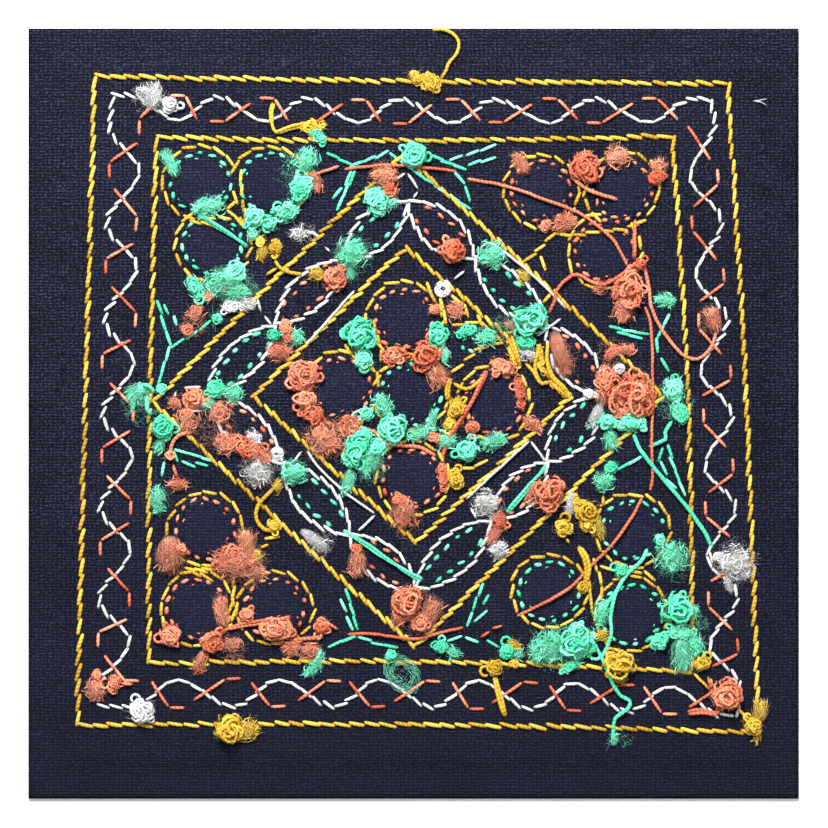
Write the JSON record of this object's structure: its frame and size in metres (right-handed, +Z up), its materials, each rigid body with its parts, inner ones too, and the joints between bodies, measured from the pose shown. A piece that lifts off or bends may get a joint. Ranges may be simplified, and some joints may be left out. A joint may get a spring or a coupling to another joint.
{
  "type": "mirror work patch",
  "caption": "Square cloth patch of mirror embroidery lying face down: its wrong side shows a stitched border, diamonds, a leaf chain, rings round the mirrors and knotted thread ends.",
  "frame": {"origin": "centre of the face that rests on the surface, under the middle of the square of cloth", "axes": "+Z up, out of the wrong side that shows; +Y to the edge at the top of the picture; +X to its right edge"},
  "size_m": [0.154, 0.154, 0.0063],
  "materials": {
    "navy_cotton": "matt hand-woven cotton",
    "mirror_glass": "silvered glass",
    "yellow_thread": "soft lustre embroidery thread",
    "orange_thread": "soft lustre embroidery thread",
    "green_thread": "soft lustre embroidery thread",
    "white_thread": "soft lustre embroidery thread"
  },
  "bodies": {
    "root": {"cloth": "navy_cotton", "mirror_upper_left_corner": "mirror_glass", "mirror_upper_left_side": "mirror_glass", "mirror_upper_left_below": "mirror_glass", "mirror_upper_right_corner": "mirror_glass", "mirror_upper_right_side": "mirror_glass", "mirror_upper_right_below": "mirror_glass", "mirror_lower_left_corner": "mirror_glass", "mirror_lower_left_side": "mirror_glass", "mirror_lower_left_above": "mirror_glass", "mirror_lower_right_corner": "mirror_glass", "mirror_lower_right_side": "mirror_glass", "mirror_lower_right_above": "mirror_glass", "mirror_centre": "mirror_glass", "mirror_centre_top": "mirror_glass", "mirror_centre_right": "mirror_glass", "mirror_centre_bottom": "mirror_glass", "mirror_centre_left": "mirror_glass", "yellow_outer_square": "yellow_thread", "yellow_inner_square": "yellow_thread", "yellow_outer_diamond": "yellow_thread", "yellow_inner_diamond": "yellow_thread", "white_border_wave": "white_thread", "orange_border_chain": "orange_thread", "white_leaf_line_under": "white_thread", "white_leaf_line_over": "white_thread", "white_end_upper_left": "white_thread", "green_end_second_mirror": "green_thread", "green_end_first_mirror": "green_thread", "green_end_third_mirror": "green_thread", "yellow_knot_top": "yellow_thread", "yellow_tail_top": "yellow_thread", "green_knot_top": "green_thread", "green_end_top_leaf": "green_thread", "orange_knot_top_leaf": "orange_thread", "green_knot_right_leaf": "green_thread", "orange_end_upper_right": "orange_thread", "orange_end_right": "orange_thread", "orange_loop_border": "orange_thread", "orange_knot_right": "orange_thread", "green_end_right": "green_thread", "green_end_sprig_right": "green_thread", "white_end_border": "white_thread", "yellow_ends_right": "yellow_thread", "green_end_lower_right": "green_thread", "green_end_right_mirror": "green_thread", "green_knot_lower_right": "green_thread", "yellow_knot_lower_right": "yellow_thread", "orange_knot_corner": "orange_thread", "yellow_ball_bottom": "yellow_thread", "white_ball_bottom": "white_thread", "orange_end_lower_left": "orange_thread", "orange_end_lower_side": "orange_thread", "orange_knot_bottom": "orange_thread", "green_oval_bottom": "green_thread", "orange_knot_left": "orange_thread", "orange_end_left_leaf": "orange_thread", "green_end_petal": "green_thread", "orange_end_left_mirror": "orange_thread", "green_end_centre": "green_thread"}
  },
  "joints": []
}
